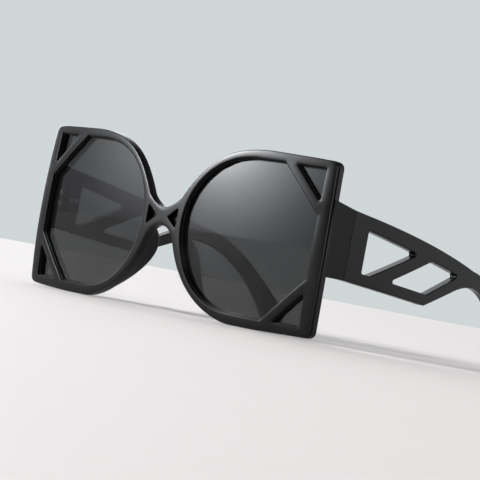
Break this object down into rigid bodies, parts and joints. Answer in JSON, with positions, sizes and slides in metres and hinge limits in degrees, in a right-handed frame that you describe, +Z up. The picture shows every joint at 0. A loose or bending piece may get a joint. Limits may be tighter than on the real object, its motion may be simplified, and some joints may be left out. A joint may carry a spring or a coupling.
{
  "type": "oversized sunglasses",
  "caption": "Folding oversized sunglasses: square butterfly front with cut-out corners, tinted round lenses and temples with slanted cut-outs.",
  "frame": {"origin": "on the surface the glasses stand on, in the middle of their width and of their depth with the temples open", "axes": "+Z up, -Y the way the front faces, +Y along the open temples, +X the wearer's left"},
  "size_m": [0.161, 0.1631, 0.0678],
  "materials": {
    "front_plastic": "satin black injection-moulded plastic, softly polished edges",
    "frame_plastic": "satin black injection-moulded plastic",
    "temple_plastic": "satin black injection-moulded plastic",
    "lens_tint": "clear polished plastic with a grey smoke tint",
    "hinge_steel": "dark nickel plate",
    "screw_steel": "bright steel"
  },
  "bodies": {
    "front": {"front_plate": "front_plastic", "rear_frame": "frame_plastic", "lens_left": "lens_tint", "lens_right": "lens_tint", "front_hinge_leaf_left": "hinge_steel", "front_hinge_leaf_right": "hinge_steel", "pivot_screw_left": "screw_steel", "pivot_screw_right": "screw_steel", "front_leaf_screws_left": "screw_steel", "front_leaf_screws_right": "screw_steel"},
    "temple_arm_left": {"temple_left": "temple_plastic", "temple_hinge_leaf_left": "hinge_steel", "temple_leaf_screws_left": "screw_steel"},
    "temple_arm_right": {"temple_right": "temple_plastic", "temple_hinge_leaf_right": "hinge_steel", "temple_leaf_screws_right": "screw_steel"}
  },
  "joints": [
    {"name": "temple_left_fold", "type": "hinge", "parent": "front", "child": "temple_arm_left", "pos_m": [0.0729, -0.06279, 0.0377], "axis": [0, 0, 1], "range_deg": [0, 86]},
    {"name": "temple_right_fold", "type": "hinge", "parent": "front", "child": "temple_arm_right", "pos_m": [-0.0729, -0.06279, 0.0377], "axis": [0, 0, -1], "range_deg": [0, 80]}
  ]
}
